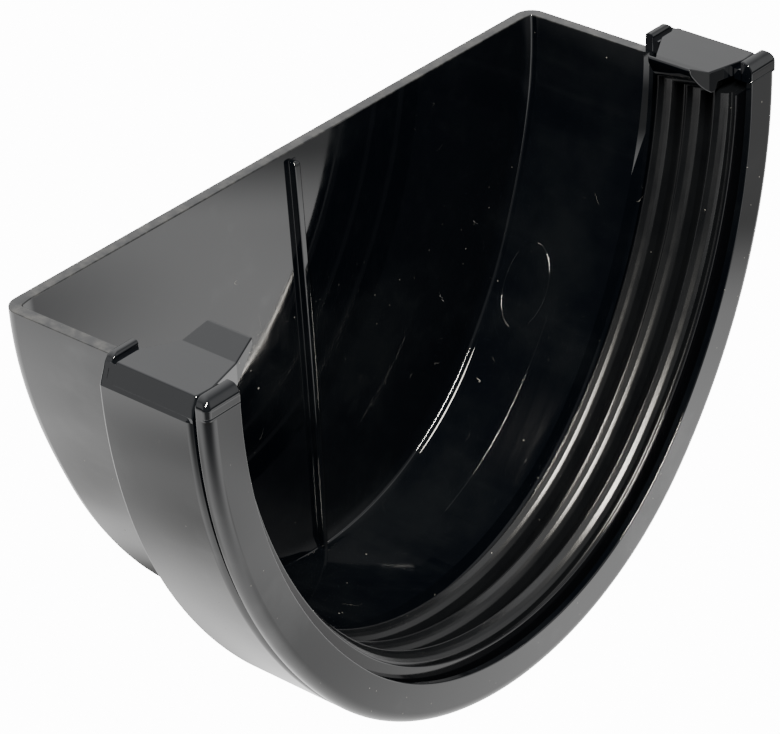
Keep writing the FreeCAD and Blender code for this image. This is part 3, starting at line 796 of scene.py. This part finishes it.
def edge_group():
    """Rubbed top edges of the trough behind the socket: a mottled wear that fades a little below the top."""
    group, place, outputs = new_group("rubbed_edges", ("Wear",))
    parts = add_node(group, "SeparateXYZ", {"Vector": place}).outputs
    high = ramp(group, parts["Z"], -EDGE_REACH * MM, 0.0)
    behind = ramp(group, parts["X"], SHOULDER_X * MM, (SHOULDER_X - 1) * MM)
    blotch = ramp(group, noise(group, place, WEAR_SCALE, 4.0, 0.6), 0.36, 0.8)
    group.links.new(times(group, times(group, high, behind), blotch), outputs["Wear"])
    return group


def skin_group():
    """Skin of the moulding: a slow wave in the surface and a fine uneven grain on top of it."""
    group, place, outputs = new_group("skin", ("Height",))
    wave = noise(group, place, WAVE_SCALE, 1.0)
    grain = times(group, noise(group, place, SKIN_GRAIN_SCALE, 2.0), SKIN_GRAIN_SHARE)
    group.links.new(plus(group, wave, grain), outputs["Height"])
    return group


def rubber_group():
    """Rubber's skin: a fine matt grain, uneven gloss, and a smoother face on the front border."""
    group, place, outputs = new_group("rubber_skin", ("Gloss", "Height"))
    ahead = add_node(group, "SeparateXYZ", {"Vector": place}).outputs["X"]
    face = SEAL_HIGH[0] - BORDER_SETBACK
    front = times(group, ramp(group, ahead, (face - 0.25) * MM, (face - 0.05) * MM),
                  ramp(group, ahead, (face + 0.2) * MM, (face + 0.1) * MM))
    uneven = noise(group, stretched(group, place, (2.5, 1.0, 1.0)), STREAK_SCALE, 4.0, 0.6)
    streak = ramp(group, uneven, 0.35, 0.75, 0.0, STREAK_GLOSS)
    group.links.new(larger(group, front, streak), outputs["Gloss"])
    group.links.new(noise(group, place, RUBBER_GRAIN_SCALE, 2.0, 0.6), outputs["Height"])
    return group


def use_group(tree, group, place):
    """Node that puts a group into a material at a place."""
    node = tree.nodes.new("ShaderNodeGroup")
    node.node_tree = group
    tree.links.new(place, node.inputs["Place"])
    return node.outputs


def colour_mix(tree, share, first, second):
    """Colour between two, or between a colour output and a colour, by a share."""
    node = add_node(tree, "Mix", {"Factor": share}, data_type="RGBA")
    if isinstance(first, bpy.types.NodeSocket):
        tree.links.new(first, node.inputs[6])
    else:
        node.inputs[6].default_value = first
    node.inputs[7].default_value = second
    return node.outputs[2]


def black_plastic():
    """Glossy black moulding: nearly a mirror, with smudges, scratches, rubbed edges and dust."""
    material = bpy.data.materials.new("black_moulded_plastic")
    material.use_nodes = True
    tree = material.node_tree
    shader = tree.nodes["Principled BSDF"]
    place = tree.nodes.new("ShaderNodeTexCoord").outputs["Object"]
    dust = use_group(tree, DUST, place)["Dust"]
    handling = use_group(tree, HANDLING, place)
    wear = use_group(tree, RUBBED_EDGES, place)["Wear"]
    colour = colour_mix(tree, handling["Smudge"], PLASTIC_DEEP, PLASTIC_HAZE)
    colour = colour_mix(tree, handling["Scratch"], colour, PLASTIC_SCRATCH)
    colour = colour_mix(tree, wear, colour, PLASTIC_WORN)
    colour = colour_mix(tree, dust, colour, DUST_COLOUR)
    tree.links.new(colour, shader.inputs["Base Color"])
    gloss = ramp(tree, handling["Smudge"], 0.0, 1.3, PLASTIC_GLOSS, PLASTIC_SMUDGED)
    dull = larger(tree, larger(tree, gloss, times(tree, wear, WORN_ROUGH)), times(tree, dust, DUST_ROUGH))
    tree.links.new(dull, shader.inputs["Roughness"])
    shader.inputs["IOR"].default_value = PLASTIC_IOR
    tree.links.new(ramp(tree, handling["Smudge"], 0.35, 1.2, 0.0, HAZE_WEIGHT), shader.inputs["Coat Weight"])
    shader.inputs["Coat Roughness"].default_value = HAZE_ROUGH
    height = use_group(tree, SKIN, place)["Height"]
    bump = add_node(tree, "Bump", {"Strength": 1.0, "Distance": SKIN_DEPTH, "Height": height})
    tree.links.new(bump.outputs["Normal"], shader.inputs["Normal"])
    return material


def seal_rubber():
    """Satin black rubber: fine grain, uneven gloss and a little dust."""
    material = bpy.data.materials.new("satin_seal_rubber")
    material.use_nodes = True
    tree = material.node_tree
    shader = tree.nodes["Principled BSDF"]
    place = tree.nodes.new("ShaderNodeTexCoord").outputs["Object"]
    dust = use_group(tree, DUST, place)["Dust"]
    skin = use_group(tree, RUBBER_SKIN, place)
    crest = add_node(tree, "Attribute", attribute_name="crest").outputs["Fac"]
    gloss = larger(tree, skin["Gloss"], crest)
    colour = colour_mix(tree, gloss, RUBBER_MATT, RUBBER_GLOSSY)
    tree.links.new(colour_mix(tree, dust, colour, DUST_COLOUR), shader.inputs["Base Color"])
    tree.links.new(ramp(tree, gloss, 0.0, 1.0, RUBBER_ROUGH, RUBBER_SMOOTH), shader.inputs["Roughness"])
    shader.inputs["IOR"].default_value = RUBBER_IOR
    grain = times(tree, skin["Height"], ramp(tree, gloss, STREAK_GLOSS, 1.0, 1.0, POLISHED_GRAIN))
    bump = add_node(tree, "Bump", {"Strength": 1.0, "Distance": GRAIN_DEPTH, "Height": grain})
    tree.links.new(bump.outputs["Normal"], shader.inputs["Normal"])
    return material


DUST = dust_group()
HANDLING = handling_group()
RUBBED_EDGES = edge_group()
SKIN = skin_group()
RUBBER_SKIN = rubber_group()
plastic = black_plastic()
rubber = seal_rubber()

clip_side = [
    clip(), rim_end(), upstand(),
    groove_floor(GROOVE_BACK_X - FLOOR_LAP, GROOVE_FRONT_X + FLOOR_LAP, GROOVE_FLOOR, MOUTH_HALF_WIDTH,
                 GROOVE_DEPTH),
    groove_floor(UPSTAND_FRONT_X - FLOOR_LAP, CLIP_BACK_X + FLOOR_LAP, SLOT_FLOOR, SLOT_INNER_Y, 0.0),
]
body_shapes = [trough_shell(), plate_rib(), rib_root(), parting_line(), pin_ring()]
body_shapes += clip_side + [mirrored(shape) for shape in clip_side]
make_piece("moulded_body", body_shapes, plastic, "end_cap_body")
seal_points, seal_faces, seal_crest = seal_strip()
make_piece("ribbed_seal", [(seal_points, seal_faces)], rubber, "socket_seal", seal_crest)


# Stage, light and camera

FLOOR_SIZE = 8.0
FLOOR_COLOUR = (0.02, 0.02, 0.02, 1)
FLOOR_WHITE = 14.0
FLOOR_GLOW, FLOOR_FAR_GLOW = 2.5, 0.12
FLOOR_NEAR, FLOOR_FAR = 0.22, 0.5
FLOOR_GAP = 0.0006
FLOOR_Z = cad_box[0][2] - FLOOR_GAP
# Each shade: x, y, radius of its core, radius where it ends, share of the glow left
FLOOR_SHADES = (
    (0.033, -0.02, 0.0, 0.05, 0.48), (0.08, 0.036, 0.0, 0.045, 0.5), (-0.072, -0.126, 0.0, 0.05, 0.5),
    (-0.05, -0.088, 0.0, 0.035, 0.45), (-0.075, -0.055, 0.0, 0.028, 0.5), (-0.03, -0.055, 0.0, 0.05, 0.75),
    (0.16, -0.21, 0.1, 0.2, 0.08), (0.12, 0.2, 0.085, 0.122, 0.2), (0.035, 0.12, 0.0, 0.05, 0.72),
    (0.147, 0.102, 0.02, 0.05, 0.25), (-0.055, -0.012, 0.012, 0.04, 0.06), (0.072, -0.004, 0.0, 0.024, 0.6),
    (-0.09, 0.008, 0.015, 0.04, 0.06), (-0.122, 0.034, 0.02, 0.045, 0.06), (-0.078, -0.085, 0.0, 0.04, 0.72),
)


def distance_share(nodes, links, place, near, far):
    """Nodes that give 0 within near of a place and 1 beyond far, smoothly between."""
    here = nodes.new("ShaderNodeTexCoord")
    apart = nodes.new("ShaderNodeVectorMath")
    apart.operation = "DISTANCE"
    apart.inputs[1].default_value = place
    share = nodes.new("ShaderNodeMapRange")
    share.interpolation_type = "SMOOTHSTEP"
    share.inputs["From Min"].default_value = near
    share.inputs["From Max"].default_value = far
    links.new(here.outputs["Object"], apart.inputs[0])
    links.new(apart.outputs["Value"], share.inputs["Value"])
    return share


def floor_glow(nodes, links):
    """Glow of the floor by place: full round the cap, dim far away, and shaded in a few soft patches."""
    far = distance_share(nodes, links, (0, 0, FLOOR_Z), FLOOR_NEAR, FLOOR_FAR)
    far.inputs["To Min"].default_value = FLOOR_GLOW
    far.inputs["To Max"].default_value = FLOOR_FAR_GLOW
    glow = far.outputs["Result"]
    for x, y, near, reach, left in FLOOR_SHADES:
        shade = distance_share(nodes, links, (x, y, FLOOR_Z), near, reach)
        shade.inputs["To Min"].default_value = left
        product = nodes.new("ShaderNodeMath")
        product.operation = "MULTIPLY"
        links.new(glow, product.inputs[0])
        links.new(shade.outputs["Result"], product.inputs[1])
        glow = product.outputs["Value"]
    return glow


def pale_floor():
    """Square of white sweep: it glows softly on the cap and burns out to plain white behind it."""
    half = FLOOR_SIZE / 2
    corners = [(-half, -half, FLOOR_Z), (half, -half, FLOOR_Z), (half, half, FLOOR_Z), (-half, half, FLOOR_Z)]
    mesh = bpy.data.meshes.new("pale_floor")
    mesh.from_pydata(corners, [], [(0, 1, 2, 3)])
    plane = bpy.data.objects.new("pale_floor", mesh)
    bpy.context.scene.collection.objects.link(plane)
    material = bpy.data.materials.new("pale_floor")
    material.use_nodes = True
    nodes, links = material.node_tree.nodes, material.node_tree.links
    shader = nodes["Principled BSDF"]
    shader.inputs["Base Color"].default_value = FLOOR_COLOUR
    shader.inputs["Roughness"].default_value = 1.0
    shader.inputs["Specular IOR Level"].default_value = 0.0
    shader.inputs["Emission Color"].default_value = (1, 1, 1, 1)
    glow = floor_glow(nodes, links)
    ray = nodes.new("ShaderNodeLightPath")
    seen = nodes.new("ShaderNodeMix")
    seen.inputs["B"].default_value = FLOOR_WHITE
    links.new(ray.outputs["Is Camera Ray"], seen.inputs["Factor"])
    links.new(glow, seen.inputs["A"])
    links.new(seen.outputs["Result"], shader.inputs["Emission Strength"])
    mesh.materials.append(material)


pale_floor()

CAMERA_PLACE = Vector((308.02, -371.17, 269.82)) * MM
CAMERA_AZIMUTH = math.radians(41.90)
CAMERA_ELEVATION = math.radians(31.14)
CAMERA_ROLL = math.radians(-2.63)
CAMERA_LENS, CAMERA_SENSOR = 177.65, 36
camera_data = bpy.data.cameras.new("photo_camera")
camera_data.lens = CAMERA_LENS
camera_data.sensor_width = CAMERA_SENSOR
camera_data.sensor_fit = "HORIZONTAL"
camera_data.clip_start = 0.01
camera = bpy.data.objects.new("photo_camera", camera_data)
camera.matrix_world = (
    Matrix.Translation(CAMERA_PLACE) @ Matrix.Rotation(CAMERA_AZIMUTH, 4, "Z")
    @ Matrix.Rotation(math.pi / 2 - CAMERA_ELEVATION, 4, "X") @ Matrix.Rotation(CAMERA_ROLL, 4, "Z"))
bpy.context.scene.collection.objects.link(camera)
bpy.context.scene.camera = camera

SKY_AXIS = Vector((-0.55, 0.25, 0.8)).normalized()
SKY_EDGE = 0.1
SKY_LOW = 0.26
SKY_HIGH = 2.3
SKY_FALL = 2.5
SIDE_AXIS = Vector((-0.57, -0.81, 0.14)).normalized()
SIDE_EDGE = 0.86
SIDE_GLOW = 0.9
FRONT_AXIS = Vector((0.62, 0.66, 0.3)).normalized()
FRONT_EDGE = 0.82
FRONT_GLOW = 1.0


def overhead_light():
    """Soft light from above and behind that falls off round its axis, and two weaker glows low down."""
    world = bpy.data.worlds.new("studio")
    world.use_nodes = True
    nodes, links = world.node_tree.nodes, world.node_tree.links
    direction = nodes.new("ShaderNodeTexCoord")
    facing = nodes.new("ShaderNodeVectorMath")
    facing.operation = "DOT_PRODUCT"
    facing.inputs[1].default_value = SKY_AXIS
    share = nodes.new("ShaderNodeMapRange")
    share.inputs["From Min"].default_value = SKY_EDGE
    fall = nodes.new("ShaderNodeMath")
    fall.operation = "POWER"
    fall.inputs[1].default_value = SKY_FALL
    level = nodes.new("ShaderNodeMapRange")
    level.inputs["To Min"].default_value = SKY_LOW
    level.inputs["To Max"].default_value = SKY_HIGH
    links.new(direction.outputs["Generated"], facing.inputs[0])
    links.new(facing.outputs["Value"], share.inputs["Value"])
    links.new(share.outputs["Result"], fall.inputs[0])
    links.new(fall.outputs["Value"], level.inputs["Value"])
    total = level.outputs["Result"]
    for axis, edge, glow in ((SIDE_AXIS, SIDE_EDGE, SIDE_GLOW), (FRONT_AXIS, FRONT_EDGE, FRONT_GLOW)):
        beside = nodes.new("ShaderNodeVectorMath")
        beside.operation = "DOT_PRODUCT"
        beside.inputs[1].default_value = axis
        side = nodes.new("ShaderNodeMapRange")
        side.interpolation_type = "SMOOTHSTEP"
        side.inputs["From Min"].default_value = edge
        side.inputs["To Max"].default_value = glow
        both = nodes.new("ShaderNodeMath")
        links.new(direction.outputs["Generated"], beside.inputs[0])
        links.new(beside.outputs["Value"], side.inputs["Value"])
        links.new(total, both.inputs[0])
        links.new(side.outputs["Result"], both.inputs[1])
        total = both.outputs["Value"]
    links.new(total, nodes["Background"].inputs["Strength"])
    nodes["Background"].inputs["Color"].default_value = (1, 1, 1, 1)
    bpy.context.scene.world = world


overhead_light()

KEY_OFFSET = Vector((-0.079, 0.088, 0.196))
KEY_WIDTH = 0.05
KEY_HEIGHT = 0.43
KEY_POWER = 32.0
KEY_COLOUR = (1.0, 0.95, 0.86)
key_data = bpy.data.lights.new("key", "AREA")
key_data.shape = "ELLIPSE"
key_data.size = KEY_WIDTH
key_data.size_y = KEY_HEIGHT
key_data.energy = KEY_POWER
key_data.color = KEY_COLOUR
key = bpy.data.objects.new("key", key_data)
key_place = CAMERA_PLACE + KEY_OFFSET
key_back = key_place.normalized()
key_along = Vector((1, 0, 0)).cross(key_back).normalized()
key_turn = Matrix((key_along.cross(key_back), key_along, key_back)).transposed()
key.matrix_world = Matrix.Translation(key_place) @ key_turn.to_4x4()
bpy.context.scene.collection.objects.link(key)
